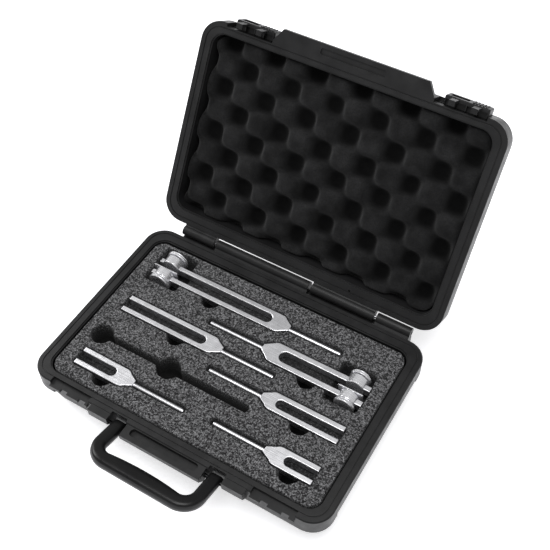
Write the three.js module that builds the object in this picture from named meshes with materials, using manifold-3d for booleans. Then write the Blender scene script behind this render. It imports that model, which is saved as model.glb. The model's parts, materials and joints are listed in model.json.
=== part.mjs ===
// A set of six tuning forks in a hinged carrying case with a foam insert, lid open, handle raised.
// Millimetres, +Z up, +X along the hinge line, +Y from the handle towards the hinge.
// The origin is the centre of the base's underside.
import * as THREE from "three";
import { mergeVertices } from "three/addons/utils/BufferGeometryUtils.js";
import Module from "manifold-3d";

const wasm = await Module();
wasm.setup();

// ---------- Driving dimensions ----------

const GAP = 0.3; // left between two pieces that touch
const OVER = 1; // how far a cutting tool runs past the surface that it opens

// Case. Base and lid share one outline and one cavity outline.
const CASE_LENGTH = 331;
const CASE_DEPTH = 221;
const CASE_CORNER = 22;
const BASE_HEIGHT = 54;
const LID_HEIGHT = 26;
const FLOOR = 10;
const LID_SKIN = 3.5;
const CAVITY = { width: 304, depth: 194, corner: 14, y: -1.5 };
const REBATE = 1.4; // step around the cavity's mouth, wide and deep
const RIM = BASE_HEIGHT;
const LID_BOTTOM = RIM + GAP;
const LID_TOP = RIM + LID_HEIGHT;
const FRONT = -CASE_DEPTH / 2;
const BACK = CASE_DEPTH / 2;

// The lower body is tucked in behind a thick band under the rim, and a bumper guards each corner.
const BODY = { width: 322, front: -103, back: 107, corner: 24, bevel: 16 };
const BAND_HEIGHT = 17;
const BAND_BEVEL = 1.2;
const BUMPER = { fromX: 137, fromY: 82, height: 22, bevel: 2 };
const RIM_GROOVE = { inset: 5, width: 1.4, depth: 0.8 };
const LID_PANEL = { length: 230, depth: 130, corner: 12, recess: 0.8 }; // shallow recess in the lid's top
const LID_BEVEL = 6;
const DRAIN_HOLE = { radius: 1.2, x: 66, y: 103.5, depth: 6 }; // small hole in the lid's mating face
const ROOT = 4; // how far a piece on the outside of the case runs back into its wall

// Hinge. Lid and base knuckles alternate along one axis, two steel pins join them.
const HINGE = { y: 118, z: RIM + 1.5, radius: 5.5, boreRadius: 1.85, pinRadius: 1.5, webHalf: 4, webRoot: 2 };
const BASE_WEB = { top: RIM - 2, bottom: RIM - 14 }; // where the webs of the knuckles meet the back wall
const LID_WEB = { top: RIM + 13, bottom: RIM + 3 };
const HINGE_SHELF = { back: HINGE.y + 2, clearance: 1.2 }; // on the base, under all the knuckles
const LID_OPEN = THREE.MathUtils.degToRad(-120);
const LID_KNUCKLES = [[-134, -94], [26.5, 99.5]];
const BASE_KNUCKLES = [[-91, 23.5], [102.5, 141]];
const PIN_SPANS = { left: [-133.5, -56], right: [63, 140.5] };

// Front edge: a tongue on each half, the handle between lugs, and the latches.
const TONGUE = { halfWidth: 44.5, front: -124, thickness: 6, drop: 1, root: 15, rootFront: -117 };
const TONGUE_RECESS = { length: 75, width: 8, corner: 3.5, depth: 4.5, y: FRONT - 4.5 };
const LID_TONGUE = { halfRoot: 86.5, halfFront: 78, front: -123.5, thickness: 5 };
const LID_TONGUE_RECESS = { length: 69.5, width: 6.2, corner: 1.5, depth: 1.5, y: FRONT - 5.3 };
const LUG = { inner: 64.5, outer: 87, front: -117, height: 17, taper: 7, drop: 0.5 };
const SLOT_WALL = -106.5; // back of the slots that the handle's arms turn in
const HANDLE = {
  outer: 61.5, inner: 47.5, reach: 48.5, grip: 15.4, bulge: 2.8, thickness: 12,
  corner: 23, innerCorner: 9, bevel: 4,
  pivotY: -113.5, pivotZ: RIM - 10, pinRadius: 2, boreRadius: 2.35, pinSpan: [38, 71], slotGap: 1,
};
const HANDLE_RAISED = THREE.MathUtils.degToRad(-17);

// Latches. Each hangs from a bay in the lid, at the bay's +X end, and slides along -X to lock.
// Its hooks drop through the notches of a ledge on the base and slide under it.
const LATCH = {
  length: 44.5, back: -107, front: -117, bottom: RIM + 3, top: RIM + 20, corner: 2, bevel: 1, endGap: 0.5,
};
const HOOK = {
  offsets: [8, 30], width: 6.5, front: -116.2, back: -113.9, tip: -111, bottom: RIM - 10.5, lip: 2.5,
};
const LATCH_GRIP = { from: 4, to: 22, depth: 1.4, border: 4 }; // sunk panel on the latch's face
const LATCH_RIBS = { count: 5, from: 26, pitch: 3.2, width: 1.6, height: 0.8, border: 3 };
// Pockets in the plate's underside, with ribs left between them.
const LATCH_POCKETS = { count: 4, from: 1.5, pitch: 10.6, length: 9.5, height: 4, front: -113.4 };
const LID_BAY = { length: 53, centre: 113.3, wall: -106.5, headroom: 2 };
const LEDGE = { length: 46, centre: 114.5, wall: -104, front: -113.5, top: RIM - 4, thickness: 3.5 };
const LEDGE_NOTCH = { clearance: 0.75, back: -110.7 };
// Half-heights of the dovetail that guides a latch, at its mouth and at its root.
const DOVETAIL = { groove: [2.3, 3.6], rail: [2, 3.2], depth: 4 };

// Foam.
const FOAM_CLEARANCE = 1.6;
const FOAM_TOP = RIM - 1.5;
const LID_FOAM_FACE = RIM + 6.8;

// Forks. Prongs point along local +X, and the local origin is the middle of the slot's closed end.
const FORK_THICKNESS = 9.5;
const FORK_TOP = FOAM_TOP - 0.8;
const FORK_Z = FORK_TOP - FORK_THICKNESS / 2;
const STEM_RADIUS = 2.8;
const POCKET_CLEARANCE = 1;
const POCKET_FLOOR = FORK_TOP - FORK_THICKNESS - 0.4;
const NOTCH_RADIUS = 10.2; // finger notch beside each fork
const DEEP_FLOOR = FOAM_TOP - 24; // floor of the finger notches and of the hammer's recess

// x and y: the slot's end. prong: slot end to tips. shoulder: slot end to the widest part's end.
// yoke: slot end to the start of the stem. stem: slot end to the stem's end. turned: prongs along -X.
const FORKS = [
  {
    name: "weighted_fork_long", x: 9.6, y: 63.8, turned: true, width: 22, tine: 5.3,
    prong: 143.6, shoulder: 11.5, yoke: 21.5, stem: 80.2, notchAt: 67,
    weights: { at: 129.8, bodyRadius: 11.2, headRadius: 12.5, plateLength: 29 },
  },
  {
    name: "plain_fork_long", x: -34, y: 6.6, turned: true, width: 20.6, tine: 5.3,
    prong: 98.4, shoulder: 10, yoke: 20, stem: 79.6, notchAt: 28,
  },
  {
    name: "weighted_fork_short", x: 38.7, y: 31, turned: false, width: 24.6, tine: 6,
    prong: 96.8, shoulder: 9, yoke: 20, stem: 82.6, notchAt: 38,
    weights: { at: 80.9, bodyRadius: 10.4, headRadius: 11.1, plateLength: 26.5 },
  },
  {
    name: "plain_fork_medium", x: 63.7, y: -18, turned: false, width: 20.6, tine: 5.5,
    prong: 70.6, shoulder: 7, yoke: 16.5, stem: 77.5, notchAt: 32,
  },
  {
    name: "plain_fork_short", x: -88.8, y: -69.8, turned: true, width: 20.6, tine: 5.2,
    prong: 44.6, shoulder: 11.5, yoke: 22, stem: 80, notchAt: 9,
  },
  {
    name: "plain_fork_tiny", x: 101, y: -66, turned: false, width: 20.6, tine: 5.4,
    prong: 33, shoulder: 10.5, yoke: 21.5, stem: 78.5, notchAt: 11,
  },
];

// A weight's body hugs its tine, and its screw head stands off the body's outer end.
const WEIGHT = {
  body: 9.5, headGap: 0.6, head: 4, shankRadius: 2.4, edge: 0.7,
  plate: 1.2, plateHalfHeight: 9, plateCorner: 1,
};
// How far the body's inner end reaches past the tine's inner face, and how much longer its body is.
const WEIGHT_ENDS = { back: { inset: 0.5, extra: 1.4 }, front: { inset: 2.6, extra: 0.6 } };
const WEIGHT_SLIDE_ROOM = 11;
const WEIGHT_ROOM = { tips: 2, front: 3, back: 5 }; // in the foam pocket, past the weights on each side
const FORK_EDGE = 0.5;
const SHOULDER = { curve: 4, run: 2.2, fall: 2.6 }; // the rounded shoulder, then the taper to the stem
const NECK_HALF = STEM_RADIUS + 0.6; // half-width where the taper meets the stem
const STEM_ROUNDING = STEM_RADIUS * 0.3; // at the stem's free end

// Recess for a reflex hammer: two round wells and the narrow channels that join them.
const HAMMER = {
  y: -38.5, wells: [{ x: -129, radius: 11.5 }, { x: -47.5, radius: 12.5 }],
  channels: [{ from: -120, to: -58, width: 7 }, { from: -38, to: 45, width: 8 }],
};

const material = (color, roughness, metalness) =>
  new THREE.MeshStandardMaterial({ color, roughness, metalness });

const MATERIALS = {
  shell: () => material(0x2b2c2e, 0.55, 0),
  foam: () => material(0x55565a, 0.95, 0),
  lidFoam: () => material(0x1c1d1f, 0.95, 0),
  aluminium: () => material(0xc9cacc, 0.35, 1),
  polished: () => material(0xe2e3e5, 0.15, 1),
  steel: () => material(0xa8aaad, 0.3, 1),
};

// ---------- Shapes ----------

function roundedRectangle(width, height, radius, x = 0, y = 0) {
  const right = x + width / 2 - radius;
  const left = x - width / 2 + radius;
  const top = y + height / 2 - radius;
  const bottom = y - height / 2 + radius;
  const quarter = Math.PI / 2;
  return new THREE.Shape()
    .absarc(right, bottom, radius, -quarter, 0)
    .absarc(right, top, radius, 0, quarter)
    .absarc(left, top, radius, quarter, 2 * quarter)
    .absarc(left, bottom, radius, 2 * quarter, 3 * quarter)
    .closePath();
}

const polygon = (points) => new THREE.Shape(points.map(([x, y]) => new THREE.Vector2(x, y)));

const caseOutline = (inset = 0) =>
  roundedRectangle(CASE_LENGTH - 2 * inset, CASE_DEPTH - 2 * inset, CASE_CORNER - inset);

const cavityOutline = (grow = 0) =>
  roundedRectangle(CAVITY.width + 2 * grow, CAVITY.depth + 2 * grow, CAVITY.corner + grow, 0, CAVITY.y);

// ---------- Primitive geometries ----------

function block(x0, x1, y0, y1, z0, z1) {
  return new THREE.BoxGeometry(x1 - x0, y1 - y0, z1 - z0)
    .translate((x0 + x1) / 2, (y0 + y1) / 2, (z0 + z1) / 2);
}

// An outline in XY, from z0 to z1, with both ends' edges rounded by bevel.
function prism(shape, z0, z1, bevel = 0, curveSegments = 6, bevelSegments = 1) {
  return new THREE.ExtrudeGeometry(shape, {
    depth: z1 - z0 - 2 * bevel,
    bevelEnabled: bevel > 0,
    bevelThickness: bevel,
    bevelSize: bevel,
    bevelOffset: -bevel,
    bevelSegments,
    curveSegments,
  }).translate(0, 0, z0 + bevel);
}

const AXIS_X = new THREE.Matrix4().makeBasis(
  new THREE.Vector3(0, 1, 0), new THREE.Vector3(0, 0, 1), new THREE.Vector3(1, 0, 0));
const AXIS_Y = new THREE.Matrix4().makeBasis(
  new THREE.Vector3(1, 0, 0), new THREE.Vector3(0, 0, 1), new THREE.Vector3(0, -1, 0));

// A profile of [y, z] points, extruded from x0 to x1.
function alongX(points, x0, x1) {
  return prism(polygon(points), x0, x1).applyMatrix4(AXIS_X);
}

// An outline in XZ, from y0 up to y1.
function alongY(shape, y0, y1, bevel = 0) {
  return prism(shape, -y1, -y0, bevel, 2).applyMatrix4(AXIS_Y);
}

function rodX(radius, x0, x1, y, z, sides = 16) {
  return new THREE.CylinderGeometry(radius, radius, x1 - x0, sides)
    .rotateZ(-Math.PI / 2)
    .translate((x0 + x1) / 2, y, z);
}

function rodY(radius, y0, y1, x, z, sides = 16) {
  return new THREE.CylinderGeometry(radius, radius, y1 - y0, sides).translate(x, (y0 + y1) / 2, z);
}

function rodZ(radius, z0, z1, x, y, sides = 20) {
  return new THREE.CylinderGeometry(radius, radius, z1 - z0, sides)
    .rotateX(Math.PI / 2)
    .translate(x, y, (z0 + z1) / 2);
}

// A solid of revolution about an axis along Y, from [radius, y] points that start and end on the axis.
function turnedY(points, x, z, sides = 24) {
  const profile = points.map(([radius, y]) => new THREE.Vector2(radius, y));
  return new THREE.LatheGeometry(profile, sides).translate(x, 0, z);
}

// ---------- Joining and cutting ----------

function solidOf(geometry) {
  const bare = geometry.index ? geometry.toNonIndexed() : geometry.clone();
  bare.deleteAttribute("normal");
  bare.deleteAttribute("uv");
  const merged = mergeVertices(bare, 1e-4);
  return new wasm.Manifold(new wasm.Mesh({
    numProp: 3,
    vertProperties: merged.attributes.position.array,
    triVerts: new Uint32Array(merged.index.array),
  }));
}

function geometryOf(solid) {
  const mesh = solid.getMesh();
  return new THREE.BufferGeometry()
    .setAttribute("position", new THREE.BufferAttribute(mesh.vertProperties, 3))
    .setIndex(new THREE.BufferAttribute(mesh.triVerts, 1));
}

const join = (...geometries) => geometryOf(geometries.map(solidOf).reduce((a, b) => a.add(b)));

const cut = (geometry, ...tools) =>
  geometryOf(tools.map(solidOf).reduce((a, b) => a.subtract(b), solidOf(geometry)));

const common = (a, b) => geometryOf(solidOf(a).intersect(solidOf(b)));

// ---------- Scene graph ----------

const root = new THREE.Group();

function place(name, geometry, look, parent = root) {
  const shaded = geometry.index ? geometry.toNonIndexed() : geometry;
  shaded.computeVertexNormals();
  const mesh = new THREE.Mesh(shaded, look());
  mesh.name = name;
  parent.add(mesh);
  return mesh;
}

// A group that is turned about an axis along X, through (y, z). What it holds is drawn before the turn,
// relative to that axis.
function turnedGroup(y, z, angle) {
  const group = new THREE.Group();
  group.position.set(0, y, z);
  group.rotation.x = angle;
  root.add(group);
  return group;
}

const lid = turnedGroup(HINGE.y, HINGE.z, LID_OPEN);

const placeOnLid = (name, closed, look) =>
  place(name, closed.translate(0, -HINGE.y, -HINGE.z), look, lid);

// ---------- Case ----------

// Shallow groove that runs round the mating face, near its outer edge.
function rimGroove(z0, z1) {
  const { inset, width } = RIM_GROOVE;
  return cut(prism(caseOutline(inset), z0, z1), prism(caseOutline(inset + width), z0 - OVER, z1 + OVER));
}

const mirrorX = (span) => [[...span], [-span[1], -span[0]]];

function baseCorners() {
  const tall = prism(caseOutline(), RIM - BUMPER.height, RIM, BUMPER.bevel);
  const keep = mirrorX([BUMPER.fromX, CASE_LENGTH]).flatMap(([x0, x1]) => [
    block(x0, x1, -CASE_DEPTH, -BUMPER.fromY, 0, RIM + OVER),
    block(x0, x1, BUMPER.fromY, CASE_DEPTH, 0, RIM + OVER),
  ]);
  return keep.map((corner) => common(tall, corner));
}

// A knuckle and the web that carries it from the back wall.
function knuckle([x0, x1], web) {
  const { y, z, radius, webHalf, webRoot } = HINGE;
  const rib = alongX([
    [BACK - webRoot, web.top], [BACK - webRoot, web.bottom], [y, z - webHalf], [y, z + webHalf],
  ], x0, x1);
  return join(rib, rodX(radius, x0, x1, y, z));
}

function hingeShelf() {
  const ends = [...LID_KNUCKLES, ...BASE_KNUCKLES].flat();
  const top = HINGE.z - HINGE.radius - HINGE_SHELF.clearance;
  return block(Math.min(...ends), Math.max(...ends), BACK - ROOT, HINGE_SHELF.back, BASE_WEB.bottom, top);
}

const pinBores = () =>
  Object.values(PIN_SPANS).map(([x0, x1]) =>
    rodX(HINGE.boreRadius, x0 - OVER, x1 + OVER, HINGE.y, HINGE.z, 12));

// The [x0, x1] of the left and the right one of a pair.
const pairOf = ({ length, centre }) => [-centre, centre].map((x) => [x - length / 2, x + length / 2]);

const latchStarts = () => pairOf(LID_BAY).map(([, x1]) => x1 - LATCH.endGap - LATCH.length);

// Ledges that the latch hooks slide under, with the notches that let them through.
function catchLedges() {
  const { front, top, thickness } = LEDGE;
  const bottom = top - thickness;
  const notches = latchStarts().flatMap((start) => HOOK.offsets.map((offset) => {
    const x = start + offset - LEDGE_NOTCH.clearance;
    const width = HOOK.width + 2 * LEDGE_NOTCH.clearance;
    return block(x, x + width, front - OVER, LEDGE_NOTCH.back, bottom - OVER, top + OVER);
  }));
  return pairOf(LEDGE).map(([x0, x1]) =>
    cut(block(x0, x1, front, FRONT + ROOT, bottom, top), ...notches));
}

// The lower tub: body, band and corners, hollowed, cut down at the latches' ledges and the handle's slots.
function baseTub() {
  const depth = BODY.back - BODY.front;
  const outline = roundedRectangle(BODY.width, depth, BODY.corner, 0, (BODY.back + BODY.front) / 2);
  const belowRim = block(-CASE_LENGTH, CASE_LENGTH, -CASE_DEPTH, CASE_DEPTH, -OVER, RIM);
  const body = common(prism(outline, 0, RIM + 2 * BODY.bevel, BODY.bevel, 6, 3), belowRim);
  const band = prism(caseOutline(), RIM - BAND_HEIGHT, RIM, BAND_BEVEL);
  return cut(
    join(body, band, ...baseCorners()),
    prism(cavityOutline(), FLOOR, RIM + OVER),
    prism(cavityOutline(REBATE), RIM - REBATE, RIM + OVER),
    rimGroove(RIM - RIM_GROOVE.depth, RIM + OVER),
    ...pairOf(LEDGE).map(([x0, x1]) => block(x0, x1, FRONT - OVER, LEDGE.wall, LEDGE.top, RIM + OVER)),
    ...mirrorX([HANDLE.inner - HANDLE.slotGap, LUG.inner]).map(([x0, x1]) =>
      block(x0, x1, FRONT - OVER, SLOT_WALL, 0, RIM + OVER)),
  );
}

function baseTongue() {
  const top = RIM - TONGUE.drop;
  const { length, width, corner, depth, y } = TONGUE_RECESS;
  return cut(
    alongX([
      [FRONT + ROOT, top], [TONGUE.front, top], [TONGUE.front, top - TONGUE.thickness],
      [TONGUE.rootFront, top - TONGUE.root], [FRONT + ROOT, top - TONGUE.root],
    ], -TONGUE.halfWidth, TONGUE.halfWidth),
    prism(roundedRectangle(length, width, corner, 0, y), top - depth, top + OVER, 0, 4),
  );
}

// Block beside each handle arm, which carries the outer end of the arm's pin.
function handleLug([x0, x1]) {
  const top = RIM - LUG.drop;
  const bottom = RIM - LUG.height;
  return alongX([
    [FRONT + ROOT, top], [LUG.front, top], [LUG.front, bottom + LUG.taper],
    [FRONT, bottom], [FRONT + ROOT, bottom],
  ], x0, x1);
}

function baseShell() {
  const lugs = mirrorX([LUG.inner, LUG.outer]).map(handleLug);
  const knuckles = BASE_KNUCKLES.map((span) => knuckle(span, BASE_WEB));
  const [pinFrom, pinTo] = HANDLE.pinSpan;
  return cut(
    join(baseTub(), baseTongue(), hingeShelf(), ...lugs, ...knuckles, ...catchLedges()),
    ...pinBores(),
    ...mirrorX([pinFrom - OVER, pinTo + OVER]).map(([x0, x1]) =>
      rodX(HANDLE.boreRadius, x0, x1, HANDLE.pivotY, HANDLE.pivotZ, 12)),
  );
}

// A dovetail's profile as [y, z] points. mouth and root: its y at each end. halves: its half-heights.
function dovetail([halfMouth, halfRoot], mouth, root) {
  const z = (LATCH.bottom + LATCH.top) / 2;
  return [[mouth, z - halfMouth], [mouth, z + halfMouth], [root, z + halfRoot], [root, z - halfRoot]];
}

function lidTub() {
  const aboveRim = block(-CASE_LENGTH, CASE_LENGTH, -CASE_DEPTH, CASE_DEPTH, LID_BOTTOM, LID_TOP + OVER);
  const cover = common(prism(caseOutline(), LID_BOTTOM - 2 * LID_BEVEL, LID_TOP, LID_BEVEL, 6, 3), aboveRim);
  const mouth = LID_BAY.wall;
  const panel = roundedRectangle(LID_PANEL.length, LID_PANEL.depth, LID_PANEL.corner);
  const { radius, x: holeX, y: holeY, depth: holeDepth } = DRAIN_HOLE;
  return cut(
    cover,
    prism(cavityOutline(), LID_BOTTOM - OVER, LID_TOP - LID_SKIN),
    prism(cavityOutline(REBATE), LID_BOTTOM - OVER, LID_BOTTOM + REBATE),
    rimGroove(LID_BOTTOM - OVER, LID_BOTTOM + RIM_GROOVE.depth),
    prism(panel, LID_TOP - LID_PANEL.recess, LID_TOP + OVER),
    rodZ(radius, LID_BOTTOM - OVER, LID_BOTTOM + holeDepth, holeX, holeY, 10),
    ...pairOf(LID_BAY).flatMap(([x0, x1]) => [
      block(x0, x1, FRONT - OVER, mouth, LID_BOTTOM - OVER, LATCH.top + LID_BAY.headroom),
      alongX(dovetail(DOVETAIL.groove, mouth - OVER, mouth + DOVETAIL.depth), x0, x1),
    ]),
  );
}

function lidTongue() {
  const { halfRoot, halfFront, front, thickness } = LID_TONGUE;
  const inside = FRONT + ROOT;
  const outline = polygon([
    [-halfRoot, inside], [-halfRoot, FRONT], [-halfFront, front],
    [halfFront, front], [halfRoot, FRONT], [halfRoot, inside],
  ]);
  const { length, width, corner, depth, y } = LID_TONGUE_RECESS;
  return cut(
    prism(outline, LID_BOTTOM, LID_BOTTOM + thickness),
    prism(roundedRectangle(length, width, corner, 0, y), LID_BOTTOM - OVER, LID_BOTTOM + depth, 0, 3),
  );
}

function lidShell() {
  const knuckles = LID_KNUCKLES.map((span) => knuckle(span, LID_WEB));
  return cut(join(lidTub(), lidTongue(), ...knuckles), ...pinBores());
}

function hingePin([x0, x1]) {
  return rodX(HINGE.pinRadius, x0, x1, HINGE.y, HINGE.z, 12);
}

// Hook under the latch: a stem down from the plate's front, and a lip that points at the case wall.
function latchHook(x) {
  const { width, front, back, tip, bottom, lip } = HOOK;
  return join(
    block(x, x + width, front, back, bottom, LATCH.bottom + OVER),
    block(x, x + width, front, tip, bottom, bottom + lip),
  );
}

// Sliding latch, drawn with its left end at x = 0.
function latch() {
  const { length, back, front, bottom, top, corner, bevel } = LATCH;
  const plateShape = roundedRectangle(length, top - bottom, corner, length / 2, (bottom + top) / 2);
  const sunk = LATCH_GRIP;
  const pockets = Array.from({ length: LATCH_POCKETS.count }, (_, i) => {
    const x = LATCH_POCKETS.from + LATCH_POCKETS.pitch * i;
    return block(x, x + LATCH_POCKETS.length, LATCH_POCKETS.front, back + OVER,
      bottom - OVER, bottom + LATCH_POCKETS.height);
  });
  const plate = cut(
    alongY(plateShape, front, back, bevel),
    block(sunk.from, sunk.to, front - OVER, front + sunk.depth, bottom + sunk.border, top - sunk.border),
    ...pockets,
  );
  const ribs = Array.from({ length: LATCH_RIBS.count }, (_, i) => {
    const x = LATCH_RIBS.from + LATCH_RIBS.pitch * i;
    return block(x, x + LATCH_RIBS.width, front - LATCH_RIBS.height, front + OVER,
      bottom + LATCH_RIBS.border, top - LATCH_RIBS.border);
  });
  const railInset = sunk.from;
  const rail = alongX(
    dovetail(DOVETAIL.rail, back - OVER, back + DOVETAIL.depth), railInset, length - railInset);
  return join(plate, ...ribs, rail, ...HOOK.offsets.map(latchHook));
}

// Handle, drawn level: a U whose arms turn on two pins beside the base's tongue, thicker in mid-grip.
function handle() {
  const { outer, inner, reach, grip, bulge, thickness, corner, innerCorner, pivotY, pivotZ } = HANDLE;
  const end = pivotY - reach;
  const gripInside = end + grip;
  const outline = new THREE.Shape()
    .moveTo(outer, pivotY)
    .lineTo(inner, pivotY)
    .lineTo(inner, gripInside + innerCorner)
    .absarc(inner - innerCorner, gripInside + innerCorner, innerCorner, 0, -Math.PI / 2, true)
    .quadraticCurveTo(0, gripInside + 2 * bulge, innerCorner - inner, gripInside)
    .absarc(innerCorner - inner, gripInside + innerCorner, innerCorner, -Math.PI / 2, -Math.PI, true)
    .lineTo(-inner, pivotY)
    .lineTo(-outer, pivotY)
    .absarc(corner - outer, end + corner, corner, Math.PI, 1.5 * Math.PI)
    .absarc(outer - corner, end + corner, corner, 1.5 * Math.PI, 2 * Math.PI)
    .closePath();
  const half = thickness / 2;
  const bar = prism(outline, pivotZ - half, pivotZ + half, HANDLE.bevel, 5, 2);
  const arms = mirrorX([inner, outer]);
  const eyes = arms.map(([x0, x1]) => rodX(half, x0, x1, pivotY, pivotZ, 16));
  const armRoots = arms.map(([x0, x1]) =>
    block(x0, x1, pivotY - half, pivotY, pivotZ - half, pivotZ + half));
  const bores = arms.map(([x0, x1]) =>
    rodX(HANDLE.boreRadius, x0 - OVER, x1 + OVER, pivotY, pivotZ, 12));
  return cut(join(bar, ...eyes, ...armRoots), ...bores).translate(0, -pivotY, -pivotZ);
}

function handlePin([x0, x1]) {
  return rodX(HANDLE.pinRadius, x0, x1, HANDLE.pivotY, HANDLE.pivotZ, 12);
}

// ---------- Forks ----------

// The fork seen from above, grown outwards by grow; the pocket in the foam is the same outline
// without the slot.
function forkOutline({ width, tine, prong, shoulder, yoke, stem }, grow, slotted) {
  const half = width / 2 + grow;
  const neck = NECK_HALF + grow;
  const { curve, run, fall } = SHOULDER;
  const stemEnd = slotted ? -yoke - grow : -stem - 2 * grow;
  const outline = new THREE.Shape()
    .moveTo(prong + grow, half)
    .lineTo(-shoulder + curve, half)
    .quadraticCurveTo(-shoulder, half, -shoulder - run, half - fall)
    .lineTo(-yoke - grow, neck);
  if (!slotted) outline.lineTo(stemEnd, neck).lineTo(stemEnd, -neck);
  outline
    .lineTo(-yoke - grow, -neck)
    .lineTo(-shoulder - run, -half + fall)
    .quadraticCurveTo(-shoulder, -half, -shoulder + curve, -half)
    .lineTo(prong + grow, -half);
  if (slotted) {
    const slotRadius = width / 2 - tine;
    outline.lineTo(prong, -slotRadius);
    outline.absarc(slotRadius, 0, slotRadius, -Math.PI / 2, -1.5 * Math.PI, true);
    outline.lineTo(prong, slotRadius);
  }
  return outline.closePath();
}

function forkSolid(spec) {
  const half = FORK_THICKNESS / 2;
  const bar = prism(forkOutline(spec, 0, true), -half, half, FORK_EDGE, 6);
  const top = -spec.yoke + OVER;
  const profile = [[0, -spec.stem], [STEM_RADIUS - STEM_ROUNDING, -spec.stem],
    [STEM_RADIUS, -spec.stem + 2 * STEM_ROUNDING], [STEM_RADIUS, top], [0, top]];
  return join(bar, turnedY(profile, 0, 0, 12).rotateZ(-Math.PI / 2));
}

// Where a weight's pieces start and end, outwards from the fork's middle plane.
function weightSpan(spec, end) {
  const slotHalf = spec.width / 2 - spec.tine;
  const { inset, extra } = WEIGHT_ENDS[end];
  const inner = slotHalf - inset;
  const outer = inner + WEIGHT.body + extra;
  return { slotHalf, inner, outer, headStart: outer + WEIGHT.headGap };
}

// The weight itself: a drum with a window for the tine and a bore for the screw's shank.
function weightBody(spec, { slotHalf, inner, outer }) {
  const { at, bodyRadius: radius } = spec.weights;
  const { edge } = WEIGHT;
  const halfThickness = FORK_THICKNESS / 2 + GAP;
  return cut(
    turnedY([[0, inner], [radius - edge, inner], [radius, inner + edge],
      [radius, outer - edge], [radius - edge, outer], [0, outer]], at, 0),
    block(at - 2 * radius, at + 2 * radius, slotHalf - GAP, spec.width / 2 + GAP,
      -halfThickness, halfThickness),
    rodY(WEIGHT.shankRadius + GAP, spec.width / 2, outer + OVER, at, 0, 12),
  );
}

// A wide head on a shank that presses on the tine.
function thumbscrew(spec, { headStart }) {
  const { at, headRadius: radius } = spec.weights;
  const { edge, shankRadius: shank } = WEIGHT;
  const tip = spec.width / 2 + GAP;
  const headEnd = headStart + WEIGHT.head;
  return turnedY([[0, tip], [shank, tip], [shank, headStart],
    [radius - edge, headStart], [radius, headStart + edge], [radius, headEnd - edge],
    [radius - edge, headEnd], [0, headEnd]], at, 0);
}

// Thin plate on the inner end of a front weight.
function clampPlate(spec, { inner }) {
  const { at, plateLength } = spec.weights;
  const { plate, plateHalfHeight, plateCorner } = WEIGHT;
  const outline = roundedRectangle(plateLength, 2 * plateHalfHeight, plateCorner, at, 0);
  return alongY(outline, inner - GAP - plate, inner - GAP);
}

function placeWeight(spec, end, group) {
  const size = spec.name.replace("weighted_fork_", "");
  const span = weightSpan(spec, end);
  const isFront = end === "front";
  const turn = isFront === spec.turned ? 0 : Math.PI; // about the tine's own direction, local X
  place(`weight_${size}_${end}`, weightBody(spec, span).rotateX(turn), MATERIALS.polished, group);
  place(`thumbscrew_${size}_${end}`, thumbscrew(spec, span).rotateX(turn), MATERIALS.polished, group);
  if (!isFront) return;
  place(`plate_${size}`, clampPlate(spec, span).rotateX(turn), MATERIALS.polished, group);
}

function placeFork(spec) {
  const group = new THREE.Group();
  group.position.set(spec.x, spec.y, FORK_Z);
  group.rotation.z = spec.turned ? Math.PI : 0;
  root.add(group);
  place(spec.name, forkSolid(spec), MATERIALS.aluminium, group);
  if (!spec.weights) return;
  for (const end of ["back", "front"]) placeWeight(spec, end, group);
}

// ---------- Foam ----------

const inRow = (spec, localX, localY) =>
  spec.turned ? [spec.x - localX, spec.y - localY] : [spec.x + localX, spec.y + localY];

function forkPocket(spec) {
  const pocket = prism(forkOutline(spec, POCKET_CLEARANCE, false), POCKET_FLOOR, RIM + OVER, 0, 4);
  if (spec.turned) pocket.rotateZ(Math.PI);
  return pocket.translate(spec.x, spec.y, 0);
}

function fingerNotch(spec) {
  const [x] = inRow(spec, spec.notchAt, 0);
  return rodZ(NOTCH_RADIUS, DEEP_FLOOR, RIM + OVER, x, spec.y - spec.width / 2, 16);
}

// Pocket round both weights, with room for them to slide towards the yoke.
function weightPocket(spec) {
  const { at, headRadius, plateLength } = spec.weights;
  const { headStart: backHead } = weightSpan(spec, "back");
  const { headStart: frontHead } = weightSpan(spec, "front");
  const [tipEnd] = inRow(spec, at + Math.max(headRadius, plateLength / 2) + WEIGHT_ROOM.tips, 0);
  const [yokeEnd] = inRow(spec, at - headRadius - WEIGHT_SLIDE_ROOM, 0);
  const front = frontHead + WEIGHT.head + WEIGHT_ROOM.front;
  const back = backHead + WEIGHT.head + WEIGHT_ROOM.back;
  return block(Math.min(tipEnd, yokeEnd), Math.max(tipEnd, yokeEnd),
    spec.y - front, spec.y + back, FORK_Z - headRadius - POCKET_CLEARANCE, RIM + OVER);
}

function hammerRecess() {
  const wells = HAMMER.wells.map(({ x, radius }) =>
    rodZ(radius, DEEP_FLOOR, RIM + OVER, x, HAMMER.y));
  const channels = HAMMER.channels.map(({ from, to, width }) =>
    block(from, to, HAMMER.y - width / 2, HAMMER.y + width / 2, DEEP_FLOOR, RIM + OVER));
  return join(...wells, ...channels);
}

const foamOutline = () => cavityOutline(-FOAM_CLEARANCE);

function foamInsert() {
  return cut(
    prism(foamOutline(), FLOOR + GAP, FOAM_TOP),
    ...FORKS.map(forkPocket),
    ...FORKS.map(fingerNotch),
    ...FORKS.filter((spec) => spec.weights).map(weightPocket),
    hammerRecess(),
  );
}

const lidFoam = () => prism(foamOutline(), LID_FOAM_FACE, LID_TOP - LID_SKIN - GAP);

// ---------- Assembly ----------

place("base_shell", baseShell(), MATERIALS.shell);
place("foam_insert", foamInsert(), MATERIALS.foam);
placeOnLid("lid_shell", lidShell(), MATERIALS.shell);
placeOnLid("lid_foam", lidFoam(), MATERIALS.lidFoam);

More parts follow.
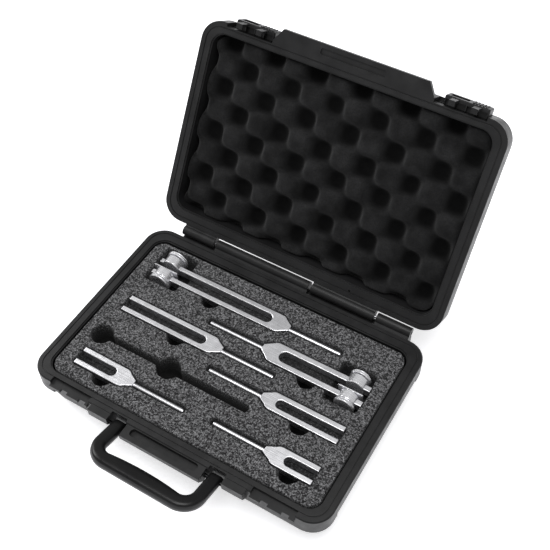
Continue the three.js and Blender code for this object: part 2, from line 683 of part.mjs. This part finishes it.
for (const [side, span] of Object.entries(PIN_SPANS)) {
  place(`hinge_pin_${side}`, hingePin(span), MATERIALS.steel);
}
latchStarts().forEach((start, i) => {
  placeOnLid(["latch_left", "latch_right"][i], latch().translate(start, 0, 0), MATERIALS.shell);
});

const raised = turnedGroup(HANDLE.pivotY, HANDLE.pivotZ, HANDLE_RAISED);
place("handle", handle(), MATERIALS.shell, raised);
mirrorX(HANDLE.pinSpan).forEach((span, i) => {
  place(["handle_pin_right", "handle_pin_left"][i], handlePin(span), MATERIALS.steel);
});

FORKS.forEach(placeFork);

export default root;
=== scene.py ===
"""Looks of a tuning fork set in its hinged case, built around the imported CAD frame.

Metres, +Z up, +X along the hinge line, +Y from the handle towards the hinge.
"""

import json
import math

import bmesh
import bpy
import numpy as np
from mathutils import Matrix, Vector, noise


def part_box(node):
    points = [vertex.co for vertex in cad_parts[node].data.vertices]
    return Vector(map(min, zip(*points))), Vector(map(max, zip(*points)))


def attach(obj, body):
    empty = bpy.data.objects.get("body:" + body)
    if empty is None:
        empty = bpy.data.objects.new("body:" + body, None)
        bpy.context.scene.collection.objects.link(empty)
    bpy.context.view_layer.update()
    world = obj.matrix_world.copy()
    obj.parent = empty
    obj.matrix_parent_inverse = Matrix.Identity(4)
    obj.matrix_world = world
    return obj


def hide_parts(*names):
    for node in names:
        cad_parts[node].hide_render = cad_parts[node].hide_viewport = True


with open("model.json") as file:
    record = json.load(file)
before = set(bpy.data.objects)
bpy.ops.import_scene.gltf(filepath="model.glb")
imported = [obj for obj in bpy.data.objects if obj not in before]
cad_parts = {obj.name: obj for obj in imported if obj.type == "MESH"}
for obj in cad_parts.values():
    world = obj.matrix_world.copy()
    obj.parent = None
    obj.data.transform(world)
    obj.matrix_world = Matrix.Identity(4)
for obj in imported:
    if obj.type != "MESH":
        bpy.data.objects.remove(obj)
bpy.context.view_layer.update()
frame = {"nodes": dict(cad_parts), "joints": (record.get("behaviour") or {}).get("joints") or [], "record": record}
NODES = frame["nodes"]
JOINTS = {joint["name"]: joint for joint in frame["joints"]}
MM = 0.001

# ---------- Driving values ----------

# Mesh clean-up of the CAD nodes.
WELD_DISTANCE = 0.005 * MM
FLAT_ANGLE = math.radians(0.5)  # neighbouring faces that differ by less are joined
EDGE_ANGLE = math.radians(32)  # edges that turn by more are rounded

# Camera, seen from its target: degrees and metres, and the lens in millimetres.
CAMERA_TARGET = Vector((-0.01636, 0.11406, 0.054))
CAMERA_AZIMUTH = 31.26
CAMERA_ELEVATION = 51.22
CAMERA_ROLL = -0.62
CAMERA_DISTANCE = 0.9763
CAMERA_LENS = 60.26

# Foam insert: a remeshed copy of its CAD solid, roughened inwards.
FOAM_VOXEL = 1.5 * MM
FOAM_ROUGHNESS = 0.35 * MM
FOAM_GRAIN = 1.9 * MM
# Painted shade on the foam insert deepens from its top down to these two depths.
FOAM_FLOOR_DEPTH = 11 * MM  # of the pockets that the forks lie in
FOAM_NOTCH_DEPTH = 24 * MM  # of the finger notches, where the painted shade on the foam is darkest

# Egg-crate foam in the lid: a checkerboard of bumps and pits.
CRATE_HALF_PITCH = Vector((24.6 * MM, 23.9 * MM))  # from a pit to the next bump
CRATE_PIT = Vector((14.1 * MM, -44.6 * MM))  # middle of one pit
CRATE_DEPTH = 13 * MM
CRATE_STEEPNESS = 2.5
CRATE_BIAS = 0.14  # makes the pits smaller than the bumps
CRATE_WANDER = 0.22  # how unevenly the foam was cut
CRATE_WANDER_SIZE = 30 * MM
CRATE_CORNER = 12.4 * MM
CRATE_INSET = 0.2 * MM  # from the front and back of its CAD slab
CRATE_STEP = 1.6 * MM
# Pit depth on each point, which the egg-crate's material turns into painted shade.
CRATE_ATTRIBUTE = "pit_depth"

# Handle: a rounded bar with a parting ridge, raised a little, its grip thicker in the middle.
HANDLE_RAISED = math.radians(17)
HANDLE_REACH = 48.5 * MM  # from the pivot to the front of the grip
HANDLE_ARM = 14 * MM  # width of an arm
HANDLE_GRIP = 15.4 * MM  # width of the grip at its ends
HANDLE_BULGE = 2.8 * MM  # added to the inside of the grip, in its middle
HANDLE_HEIGHT = 12 * MM
HANDLE_OUTER_CORNER = 23 * MM
HANDLE_SQUARENESS = 0.65  # power of the section's sine and cosine: 1 is an oval, less is squarer
HANDLE_RIDGE = 0.4 * MM
HANDLE_RIDGE_SPAN = 0.09  # sine of the angle, up and down, that the ridge covers
HANDLE_EYE_TIP = 0.05  # least share of the full height, at the rounded end of an arm
HANDLE_BORE = 2.35 * MM  # radius
HANDLE_SIDES = 48
HANDLE_EYE_STEPS = 6
HANDLE_BEND_STEPS = 12
HANDLE_GRIP_STEPS = 6
HANDLE_SHARP = math.radians(40)

# Thumbscrews.
KNURL_TEETH = 60
KNURL_DEPTH = 0.22 * MM
KNURL_SHARP = math.radians(35)
SHANK_RADIUS = 2.4 * MM
HEAD_HEIGHT = 4 * MM
# The head from its underside to its top: inset from its full radius, height, whether the knurl cuts it.
HEAD_OUTLINE = (
    (0.6 * MM, 0.0, False),
    (0.15 * MM, 0.4 * MM, False),
    (0.5 * MM, 0.7 * MM, False),  # lower groove
    (0.15 * MM, 1.0 * MM, True),
    (0.05 * MM, 2.9 * MM, True),
    (0.5 * MM, 3.2 * MM, False),  # upper groove
    (0.3 * MM, 3.5 * MM, False),
    (0.9 * MM, HEAD_HEIGHT, False),
)
DISH_DEPTH = 0.4 * MM
# The dish in the head's top: share of the full radius, depth.
DISH_OUTLINE = ((0.55, 0.0), (0.5, DISH_DEPTH), (0.1, DISH_DEPTH))

# Noise textures lie mostly between these two values.
NOISE_LOW = 0.3
NOISE_HIGH = 0.7

# The floor glows a little, like a backlit table, so that it stays white round the dark case.
FLOOR_GLOW = 0.55
FLOOR_HALF = 6
FLOOR_DROP = 0.2 * MM

# Square area lights, all aimed at one point: place, side and power in watts.
LIGHTS = {
    "overhead": ((0.15, -0.25, 1.6), 1.1, 19),
    "side": ((-1.3, 0.1, 1.0), 0.8, 13),
}
LIGHT_TARGET = Vector((0, 0, 0.05))
WORLD_STRENGTH = 0.45


# ---------- Mesh helpers ----------

def new_piece(name, verts, faces, look):
    """A new object made of these points and faces."""
    mesh = bpy.data.meshes.new(name)
    mesh.from_pydata([tuple(v) for v in verts], [], faces)
    mesh.validate()
    return finish_mesh(name, mesh, look)


def finish_mesh(name, mesh, look):
    """Turns the faces outwards, shades them smooth and makes an object of the mesh."""
    bm = bmesh.new()
    bm.from_mesh(mesh)
    bmesh.ops.recalc_face_normals(bm, faces=bm.faces)
    bm.to_mesh(mesh)
    bm.free()
    mesh.shade_smooth()
    mesh.materials.clear()
    mesh.materials.append(look)
    piece = bpy.data.objects.new(name, mesh)
    bpy.context.scene.collection.objects.link(piece)
    return piece


def bake_modifiers(piece):
    """Turns the piece's modifiers into its mesh."""
    bpy.context.view_layer.update()
    evaluated = piece.evaluated_get(bpy.context.evaluated_depsgraph_get())
    mesh = bpy.data.meshes.new_from_object(evaluated)
    piece.modifiers.clear()
    piece.data = mesh


def welded_copy(node, name, look):
    """A new piece with the node's shape and its shared vertices merged."""
    bm = bmesh.new()
    bm.from_mesh(NODES[node].data)
    bmesh.ops.remove_doubles(bm, verts=bm.verts, dist=WELD_DISTANCE)
    mesh = bpy.data.meshes.new(name)
    bm.to_mesh(mesh)
    bm.free()
    return finish_mesh(name, mesh, look)


def ring_faces(rings, sides):
    """Quads between rings of vertices laid out one after the other, with an n-gon on each end."""
    faces = []
    for ring in range(rings - 1):
        for side in range(sides):
            a = ring * sides + side
            b = ring * sides + (side + 1) % sides
            faces.append((a, b, b + sides, a + sides))
    faces.append(tuple(reversed(range(sides))))
    faces.append(tuple(range((rings - 1) * sides, rings * sides)))
    return faces


def dress(node, look, bevel):
    """Shows a CAD node with rounded edges, smooth curves and its own material."""
    piece = NODES[node]
    mesh = piece.data
    normals = mesh.attributes.get("custom_normal")
    if normals:
        mesh.attributes.remove(normals)
    mesh.shade_smooth()
    mesh.materials.clear()
    mesh.materials.append(look)
    weld = piece.modifiers.new("weld", "WELD")
    weld.merge_threshold = WELD_DISTANCE
    flats = piece.modifiers.new("flats", "DECIMATE")
    flats.decimate_type = "DISSOLVE"
    flats.angle_limit = FLAT_ANGLE
    edges = piece.modifiers.new("edges", "BEVEL")
    edges.width = bevel
    edges.segments = 2
    edges.limit_method = "ANGLE"
    edges.angle_limit = EDGE_ANGLE
    shading = piece.modifiers.new("shading", "WEIGHTED_NORMAL")
    shading.keep_sharp = True


# ---------- Material helpers ----------

class Look:
    """A Principled material whose textures read the object's own coordinates, in metres."""

    def __init__(self, name, metallic=0.0, **constants):
        self.material = bpy.data.materials.new(name)
        self.material.use_nodes = True
        self.nodes = self.material.node_tree.nodes
        self.links = self.material.node_tree.links
        self.shader = self.nodes["Principled BSDF"]
        self.shader.inputs["Metallic"].default_value = metallic
        for socket, value in constants.items():
            self.shader.inputs[socket.replace("_", " ")].default_value = value
        self.place = self.nodes.new("ShaderNodeTexCoord").outputs["Object"]

    def stretched(self, scale):
        """The place, scaled per axis, so that a noise of scale 1 on it is drawn out into lines."""
        mapping = self.nodes.new("ShaderNodeMapping")
        mapping.inputs["Scale"].default_value = scale
        self.links.new(self.place, mapping.inputs["Vector"])
        return mapping.outputs["Vector"]

    def noise(self, scale, detail=3.0, vector=None):
        """Cloudy noise with about this many blotches to the metre."""
        texture = self.nodes.new("ShaderNodeTexNoise")
        texture.inputs["Scale"].default_value = scale
        texture.inputs["Detail"].default_value = detail
        self.links.new(vector or self.place, texture.inputs["Vector"])
        return texture.outputs["Fac"]

    def height(self):
        """Height above the ground."""
        parts = self.nodes.new("ShaderNodeSeparateXYZ")
        self.links.new(self.place, parts.inputs["Vector"])
        return parts.outputs["Z"]

    def attribute(self, name):
        node = self.nodes.new("ShaderNodeAttribute")
        node.attribute_name = name
        return node.outputs["Fac"]

    def cells(self, scale):
        """Distance from the middle of the nearest cell, with about this many cells to the metre."""
        texture = self.nodes.new("ShaderNodeTexVoronoi")
        texture.inputs["Scale"].default_value = scale
        self.links.new(self.place, texture.inputs["Vector"])
        return texture.outputs["Distance"]

    def span(self, value, low, high, out_low, out_high):
        """Maps low..high to out_low..out_high."""
        node = self.nodes.new("ShaderNodeMapRange")
        limits = {"From Min": low, "From Max": high, "To Min": out_low, "To Max": out_high}
        for socket, number in limits.items():
            node.inputs[socket].default_value = number
        self.links.new(value, node.inputs["Value"])
        return node.outputs["Result"]

    def multiply(self, a, b):
        node = self.nodes.new("ShaderNodeMath")
        node.operation = "MULTIPLY"
        self.links.new(a, node.inputs[0])
        self.links.new(b, node.inputs[1])
        return node.outputs["Value"]

    def colour(self, value, *stops):
        """Base colour from value, by stops of (value, grey level)."""
        ramp = self.nodes.new("ShaderNodeValToRGB")
        first, last = ramp.color_ramp.elements
        first.position, last.position = stops[0][0], stops[-1][0]
        first.color, last.color = grey(stops[0][1]), grey(stops[-1][1])
        for position, level in stops[1:-1]:
            ramp.color_ramp.elements.new(position).color = grey(level)
        self.links.new(value, ramp.inputs["Fac"])
        self.links.new(ramp.outputs["Color"], self.shader.inputs["Base Color"])

    def roughness(self, value):
        self.links.new(value, self.shader.inputs["Roughness"])

    def bump(self, *layers):
        """layers: (height output, distance in metres, strength), each on top of the one before."""
        normal = None
        for height, distance, strength in layers:
            node = self.nodes.new("ShaderNodeBump")
            node.inputs["Distance"].default_value = distance
            node.inputs["Strength"].default_value = strength
            self.links.new(height, node.inputs["Height"])
            if normal:
                self.links.new(normal, node.inputs["Normal"])
            normal = node.outputs["Normal"]
        self.links.new(normal, self.shader.inputs["Normal"])


def grey(level):
    """A grey with a trace of blue."""
    return (level, level, level * 1.03, 1.0)


def moulded_plastic(name, dark, light, smooth, rough):
    """Black moulding with a fine pebbled grain and faint handling marks."""
    look = Look(name, Specular_IOR_Level=0.26)
    look.colour(look.noise(35, 4), (NOISE_LOW, dark), (NOISE_HIGH, light))
    look.roughness(look.span(look.noise(120, 5), NOISE_LOW, NOISE_HIGH, smooth, rough))
    look.bump((look.noise(1600, 2), 0.12 * MM, 0.35), (look.cells(900), 0.08 * MM, 0.2))
    return look.material


def cut_foam():
    """Charcoal open-cell foam, speckled light and dark, with painted shade darkening it down in its cuts."""
    look = Look("cut_foam", Specular_IOR_Level=0.1, Sheen_Weight=0.05, Sheen_Roughness=0.6)
    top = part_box("foam_insert")[1].z
    grain = look.span(look.noise(640, 6), 0.34, 0.69, 0.08, 1.0)
    specks = look.span(look.noise(1300, 3), 0.35, 0.65, 0.45, 1.4)
    height = look.height()
    # Painted shade: the colour darkens with depth below the foam's top, most in the finger notches.
    shallow_painted_shade = look.span(height, top - FOAM_FLOOR_DEPTH, top, 0.5, 1.0)
    deep_painted_shade = look.span(height, top - FOAM_NOTCH_DEPTH, top - FOAM_FLOOR_DEPTH, 0.05, 1.0)
    speckle_and_painted_shade = look.multiply(look.multiply(grain, specks), look.multiply(shallow_painted_shade, deep_painted_shade))
    look.colour(speckle_and_painted_shade, (0.0, 0.002), (0.35, 0.024), (1.0, 0.22))
    look.roughness(look.span(look.noise(300), NOISE_LOW, NOISE_HIGH, 0.85, 1.0))
    look.bump((look.noise(640, 6), 0.8 * MM, 0.9), (look.noise(1300, 3), 0.3 * MM, 0.7))
    return look.material


def soft_foam():
    """Near-black fine-celled foam, with painted shade blackening it down in its pits."""
    look = Look("soft_foam", Specular_IOR_Level=0.08, Sheen_Weight=0.06, Sheen_Roughness=0.5)
    mottle = look.span(look.noise(60, 5), NOISE_LOW, NOISE_HIGH, 0.25, 0.75)
    grain = look.span(look.noise(700, 3), NOISE_LOW, NOISE_HIGH, 0.6, 1.4)
    # Painted shade: the colour falls to a twentieth at the bottom of each pit.
    pit_painted_shade = look.span(look.attribute(CRATE_ATTRIBUTE), 0.25, 0.85, 1.0, 0.05)
    look.colour(look.multiply(look.multiply(mottle, grain), pit_painted_shade), (0.0, 0.001), (1.0, 0.019))
    look.roughness(look.span(look.noise(400), NOISE_LOW, NOISE_HIGH, 0.85, 1.0))
    look.bump((look.noise(1200, 4), 0.4 * MM, 0.7))
    return look.material


def brushed_aluminium():
    """Satin aluminium, brushed along the fork."""
    look = Look("brushed_aluminium", metallic=1.0)
    grain = look.noise(1, 4, look.stretched((60, 2600, 2600)))
    look.colour(look.noise(160, 4), (NOISE_LOW, 0.78), (NOISE_HIGH, 0.94))
    look.roughness(look.span(grain, NOISE_LOW, NOISE_HIGH, 0.22, 0.38))
    look.bump((grain, 0.04 * MM, 0.4), (look.noise(500, 3), 0.05 * MM, 0.15))
    return look.material


def turned_aluminium():
    """Polished metal with the fine rings that a lathe leaves, across the Y axis."""
    look = Look("turned_aluminium", metallic=0.9)
    rings = look.noise(1, 3, look.stretched((30, 3200, 30)))
    look.colour(look.noise(220, 3), (NOISE_LOW, 0.92), (NOISE_HIGH, 0.98))
    look.roughness(look.span(rings, NOISE_LOW, NOISE_HIGH, 0.16, 0.3))
    look.bump((rings, 0.03 * MM, 0.35))
    return look.material


def drawn_steel(name, dark, light):
    """Steel with fine lines drawn along the X axis."""
    look = Look(name, metallic=1.0)
    lines = look.noise(1, 3, look.stretched((40, 2500, 2500)))
    look.colour(look.noise(300, 3), (NOISE_LOW, dark), (NOISE_HIGH, light))
    look.roughness(look.span(lines, NOISE_LOW, NOISE_HIGH, 0.22, 0.4))
    look.bump((lines, 0.03 * MM, 0.3))
    return look.material


def floor_finish():
    """Matt white."""
    look = Look("floor_finish", Specular_IOR_Level=0.1, Emission_Strength=FLOOR_GLOW)
    look.shader.inputs["Emission Color"].default_value = (1, 1, 1, 1)
    look.colour(look.noise(3, 2), (NOISE_LOW, 0.9), (NOISE_HIGH, 0.92))
    look.roughness(look.span(look.noise(8), NOISE_LOW, NOISE_HIGH, 0.85, 0.95))
    return look.material


SHELL_PLASTIC = moulded_plastic("shell_plastic", 0.008, 0.014, 0.32, 0.46)
LATCH_PLASTIC = moulded_plastic("latch_plastic", 0.007, 0.012, 0.3, 0.42)
HANDLE_PLASTIC = moulded_plastic("handle_plastic", 0.004, 0.007, 0.26, 0.38)
CUT_FOAM = cut_foam()
SOFT_FOAM = soft_foam()
ALUMINIUM = brushed_aluminium()
POLISHED = turned_aluminium()
STEEL = drawn_steel("drawn_steel", 0.45, 0.6)
BLACKENED_STEEL = drawn_steel("blackened_steel", 0.02, 0.04)


# ---------- CAD nodes that keep their shape ----------

def dress_cad_nodes():
    """Gives each node the material of its slot and rounds its edges by the slot's radius."""
    finishes = {
        "shell": (SHELL_PLASTIC, 0.5 * MM),
        "latch": (LATCH_PLASTIC, 0.3 * MM),
        "aluminium": (ALUMINIUM, 0.25 * MM),
        "polished": (POLISHED, 0.15 * MM),
        "steel": (STEEL, 0.2 * MM),
    }
    for part in frame["record"]["subparts"]:
        if part["material_slot"] in finishes and not part["node"].startswith("thumbscrew"):
            dress(part["node"], *finishes[part["material_slot"]])
    for node in ("handle_pin_left", "handle_pin_right"):
        NODES[node].data.materials[0] = BLACKENED_STEEL


# ---------- Foam insert ----------

def make_foam_insert():
    """Voxel-remeshed copy of the CAD solid, whose surface is eaten away a little, as cut foam is."""
    piece = welded_copy("foam_insert", "foam_insert_cells", CUT_FOAM)
    remesh = piece.modifiers.new("remesh", "REMESH")
    remesh.mode = "VOXEL"
    remesh.voxel_size = FOAM_VOXEL
    soften = piece.modifiers.new("soften", "SMOOTH")
    soften.factor = 0.5
    soften.iterations = 2
    bake_modifiers(piece)
    mesh = piece.data
    normals = [vertex.normal.copy() for vertex in mesh.vertices]
    for vertex, normal in zip(mesh.vertices, normals):
        grain = 0.5 + 0.5 * noise.noise(vertex.co / FOAM_GRAIN)
        vertex.co -= normal * FOAM_ROUGHNESS * grain
    mesh.shade_smooth()
    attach(piece, "case_base")
    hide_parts("foam_insert")


# ---------- Egg-crate foam ----------

def lid_opening():
    """The matrix that takes the closed lid to where it stands at rest."""
    joint = JOINTS["lid_hinge"]
    pivot = Vector(joint["pos_m"])
    closing = Matrix.Rotation(math.radians(joint["range_deg"][0]), 4, Vector(joint["axis"]))
    return Matrix.Translation(pivot) @ closing.inverted() @ Matrix.Translation(-pivot)


def crate_height(x, y):
    """0 on top of a bump, 1 at the bottom of a pit."""
    wave = math.cos(math.pi * (x - CRATE_PIT.x) / CRATE_HALF_PITCH.x)
    wave *= math.cos(math.pi * (y - CRATE_PIT.y) / CRATE_HALF_PITCH.y)
    wave -= CRATE_BIAS + CRATE_WANDER * noise.noise(Vector((x, y, 0)) / CRATE_WANDER_SIZE)
    return 0.5 + 0.5 * math.tanh(CRATE_STEEPNESS * wave)


def crate_front(low, high, rows, columns):
    """The bumpy front in rows of points, and the pit depth at each, between the slab's corners."""
    centre = (low + high) / 2
    half = (high - low) / 2
    points = []
    pits = []
    for row in range(rows + 1):
        y = (-1 + 2 * row / rows) * half[1]
        into_corner = max(0.0, abs(y) - (half[1] - CRATE_CORNER))
        across = half[0] - CRATE_CORNER + math.sqrt(max(0.0, CRATE_CORNER**2 - into_corner**2))
        for column in range(columns + 1):
            x = (-1 + 2 * column / columns) * across
            pit = crate_height(x + centre[0], y + centre[1])
            pits.append(pit)
            points.append(Vector((x + centre[0], y + centre[1], low[2] + CRATE_INSET + CRATE_DEPTH * pit)))
    return points, pits


def grid_faces(rows, columns):
    """Quads of a grid whose points are laid out row by row."""
    width = columns + 1
    faces = []
    for row in range(rows):
        for column in range(columns):
            a = row * width + column
            faces.append((a, a + 1, a + width + 1, a + width))
    return faces


def grid_rim(rows, columns):
    """The grid's outermost points, once round."""
    width = columns + 1
    rim = list(range(width))
    rim += [row * width + columns for row in range(1, rows + 1)]
    rim += [rows * width + column for column in range(columns - 1, -1, -1)]
    rim += [row * width for row in range(rows - 1, 0, -1)]
    return rim


def make_lid_foam():
    """The egg-crate front, closed by straight sides and a flat back.

    Worked out for the closed lid, then opened with it.
    """
    opening = lid_opening()
    closing = opening.inverted()
    corners = np.array([closing @ v.co for v in NODES["lid_foam"].data.vertices])
    low = corners.min(0)
    high = corners.max(0)
    columns = round((high[0] - low[0]) / CRATE_STEP)
    rows = round((high[1] - low[1]) / CRATE_STEP)
    front, pits = crate_front(low, high, rows, columns)
    rim = grid_rim(rows, columns)
    back = [Vector((front[i].x, front[i].y, high[2] - CRATE_INSET)) for i in rim]
    behind = range(len(front), len(front) + len(rim))
    faces = grid_faces(rows, columns)
    for here in range(len(rim)):
        there = (here + 1) % len(rim)
        faces.append((rim[here], rim[there], behind[there], behind[here]))
    faces.append(tuple(behind))
    verts = [opening @ point for point in front + back]
    piece = new_piece("lid_foam_crate", verts, faces, SOFT_FOAM)
    # The pit depth also drives the painted shade in the foam's colour.
    depth = piece.data.attributes.new(CRATE_ATTRIBUTE, "FLOAT", "POINT")
    depth.data.foreach_set("value", pits + [pits[i] for i in rim])
    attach(piece, "lid")
    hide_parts("lid_foam")


# ---------- Handle ----------

def handle_section(inside, outside, high):
    """A squarish oval with a raised parting line round its middle, as (across, up) pairs."""
    points = []
    for side in range(HANDLE_SIDES):
        angle = 2 * math.pi * side / HANDLE_SIDES
        c, s = math.cos(angle), math.sin(angle)
        reach = outside if c > 0 else inside
        across = math.copysign(abs(c) ** HANDLE_SQUARENESS, c) * (reach - HANDLE_RIDGE)
        up = math.copysign(abs(s) ** HANDLE_SQUARENESS, s) * high / 2
        if abs(s) < HANDLE_RIDGE_SPAN:
            across += math.copysign(HANDLE_RIDGE, c)
        points.append((across, up))
    return points


def handle_stations(arm_x):
    """(point, outward direction, half-width towards the inside, height share) from eye to eye.

    Drawn level, from the pivot, with the arms along -Y. An eye is the rounded end of an arm.
    """
    half_arm = HANDLE_ARM / 2
    half_grip = HANDLE_GRIP / 2
    eye = HANDLE_HEIGHT / 2
    grip_y = half_grip - HANDLE_REACH
    bend = HANDLE_OUTER_CORNER - half_arm
    straight = arm_x - bend
    sideways = Vector((1, 0, 0))
    forwards = Vector((0, -1, 0))
    right = []
    for step in range(HANDLE_EYE_STEPS + 1):
        # Starts just short of the tip, where a section would close to a line.
        along = math.cos(math.radians(90 * step / HANDLE_EYE_STEPS)) * 0.999
        share = max(math.sqrt(1 - along**2), HANDLE_EYE_TIP)
        right.append((Vector((arm_x, along * eye, 0)), sideways, half_arm, share))
    right.append((Vector((arm_x, (grip_y + bend) / 2, 0)), sideways, half_arm, 1.0))
    for step in range(HANDLE_BEND_STEPS + 1):
        angle = math.radians(90 * step / HANDLE_BEND_STEPS)
        out = Vector((math.cos(angle), -math.sin(angle), 0))
        half = half_arm + (half_grip - half_arm) * step / HANDLE_BEND_STEPS
        right.append((Vector((straight, grip_y + bend, 0)) + out * bend, out, half, 1.0))
    for step in range(1, HANDLE_GRIP_STEPS + 1):
        along = 1 - step / (HANDLE_GRIP_STEPS + 0.5)
        swell = HANDLE_BULGE * (1 - along**2)
        right.append((Vector((straight * along, grip_y, 0)), forwards, half_grip + swell, 1.0))
    mirror = Matrix.Scale(-1, 3, Vector((1, 0, 0)))
    left = [(mirror @ point, mirror @ out, half, share) for point, out, half, share in reversed(right)]
    return right + left


def pin_bore(piece, x):
    """Cuts the pin's bore through the handle's arm at x."""
    pivot = JOINTS["handle_hinge"]["pos_m"]
    bpy.ops.mesh.primitive_cylinder_add(
        vertices=32, radius=HANDLE_BORE, depth=3 * HANDLE_ARM,
        location=(x, pivot[1], pivot[2]), rotation=(0, math.pi / 2, 0))
    cutter = bpy.context.active_object
    boolean = piece.modifiers.new("bore", "BOOLEAN")
    boolean.operation = "DIFFERENCE"
    boolean.solver = "EXACT"
    boolean.object = cutter
    bake_modifiers(piece)
    bpy.data.objects.remove(cutter)


def make_handle():
    """The handle's sections swept from eye to eye, bored for its pins."""
    arm_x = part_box("handle")[1].x - HANDLE_ARM / 2
    pivot = Vector((0, *JOINTS["handle_hinge"]["pos_m"][1:]))
    raised = Matrix.Translation(pivot) @ Matrix.Rotation(-HANDLE_RAISED, 4, "X")
    stations = handle_stations(arm_x)
    verts = []
    for point, out, inside, share in stations:
        outside = min(inside, HANDLE_GRIP / 2)
        for across, up in handle_section(inside, outside, HANDLE_HEIGHT * share):
            verts.append(raised @ (point + out * across + Vector((0, 0, up))))
    faces = ring_faces(len(stations), HANDLE_SIDES)
    piece = new_piece("handle_grip", verts, faces, HANDLE_PLASTIC)
    for x in (-arm_x, arm_x):
        pin_bore(piece, x)
    piece.data.set_sharp_from_angle(angle=HANDLE_SHARP)
    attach(piece, "handle")
    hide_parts("handle")


# ---------- Thumbscrews ----------

def make_thumbscrew(node):
    """A knurled head with turned grooves, on the shank that presses on the tine."""
    low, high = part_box(node)
    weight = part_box(node.replace("thumbscrew", "weight"))
    outwards = 1 if low.y + high.y > weight[0].y + weight[1].y else -1
    top = high.y if outwards > 0 else low.y
    tip = low.y if outwards > 0 else high.y
    radius = (high.x - low.x) / 2
    x = (low.x + high.x) / 2
    z = (low.z + high.z) / 2
    under = top - outwards * HEAD_HEIGHT
    profile = [(SHANK_RADIUS, tip, False), (SHANK_RADIUS, under, False)]
    for inset, height, knurled in HEAD_OUTLINE:
        profile.append((radius - inset, under + outwards * height, knurled))
    for share, depth in DISH_OUTLINE:
        profile.append((radius * share, top - outwards * depth, False))
    sides = 2 * KNURL_TEETH
    verts = []
    for ring_radius, y, knurled in profile:
        for side in range(sides):
            angle = 2 * math.pi * side / sides
            reach = ring_radius - (KNURL_DEPTH if knurled and side % 2 else 0)
            verts.append(Vector((x + reach * math.cos(angle), y, z + reach * math.sin(angle))))
    piece = new_piece(node + "_knurled", verts, ring_faces(len(profile), sides), POLISHED)
    piece.data.set_sharp_from_angle(angle=KNURL_SHARP)
    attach(piece, node)
    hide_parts(node)


# ---------- Stage ----------

def make_camera():
    """A camera that looks at its target from the named angles and distance."""
    azimuth = math.radians(CAMERA_AZIMUTH)
    elevation = math.radians(CAMERA_ELEVATION)
    roll = math.radians(CAMERA_ROLL)
    back = Vector((
        math.sin(azimuth) * math.cos(elevation),
        -math.cos(azimuth) * math.cos(elevation),
        math.sin(elevation),
    ))
    level = Vector((math.cos(azimuth), math.sin(azimuth), 0))
    right = math.cos(roll) * level + math.sin(roll) * back.cross(level)
    up = back.cross(right)
    camera = bpy.data.objects.new("camera", bpy.data.cameras.new("camera"))
    bpy.context.scene.collection.objects.link(camera)
    camera.data.lens = CAMERA_LENS
    turn = Matrix((right, up, back)).transposed().to_4x4()
    camera.matrix_world = Matrix.Translation(CAMERA_TARGET + back * CAMERA_DISTANCE) @ turn
    bpy.context.scene.camera = camera


def make_light(name, place, size, power):
    """A square area light aimed at the lights' target."""
    lamp = bpy.data.lights.new(name, "AREA")
    lamp.size = size
    lamp.energy = power
    light = bpy.data.objects.new(name, lamp)
    bpy.context.scene.collection.objects.link(light)
    light.location = place
    light.rotation_euler = (LIGHT_TARGET - Vector(place)).to_track_quat("-Z", "Y").to_euler()


def make_stage():
    """Dim white surroundings, the lights and a pale floor just under the case."""
    world = bpy.data.worlds.new("studio")
    bpy.context.scene.world = world
    world.use_nodes = True
    background = world.node_tree.nodes["Background"]
    background.inputs["Color"].default_value = (1, 1, 1, 1)
    background.inputs["Strength"].default_value = WORLD_STRENGTH
    for name, (place, size, power) in LIGHTS.items():
        make_light(name, place, size, power)
    signs = ((-1, -1), (1, -1), (1, 1), (-1, 1))
    corners = [(FLOOR_HALF * x, FLOOR_HALF * y, 0) for x, y in signs]
    floor = new_piece("floor", corners, [(0, 1, 2, 3)], floor_finish())
    floor.location.z = -FLOOR_DROP
    bpy.context.scene.view_settings.view_transform = "Standard"


# ---------- Build ----------

make_camera()
make_stage()
dress_cad_nodes()
make_foam_insert()
make_lid_foam()
make_handle()
for node_name in sorted(NODES):
    if node_name.startswith("thumbscrew"):
        make_thumbscrew(node_name)
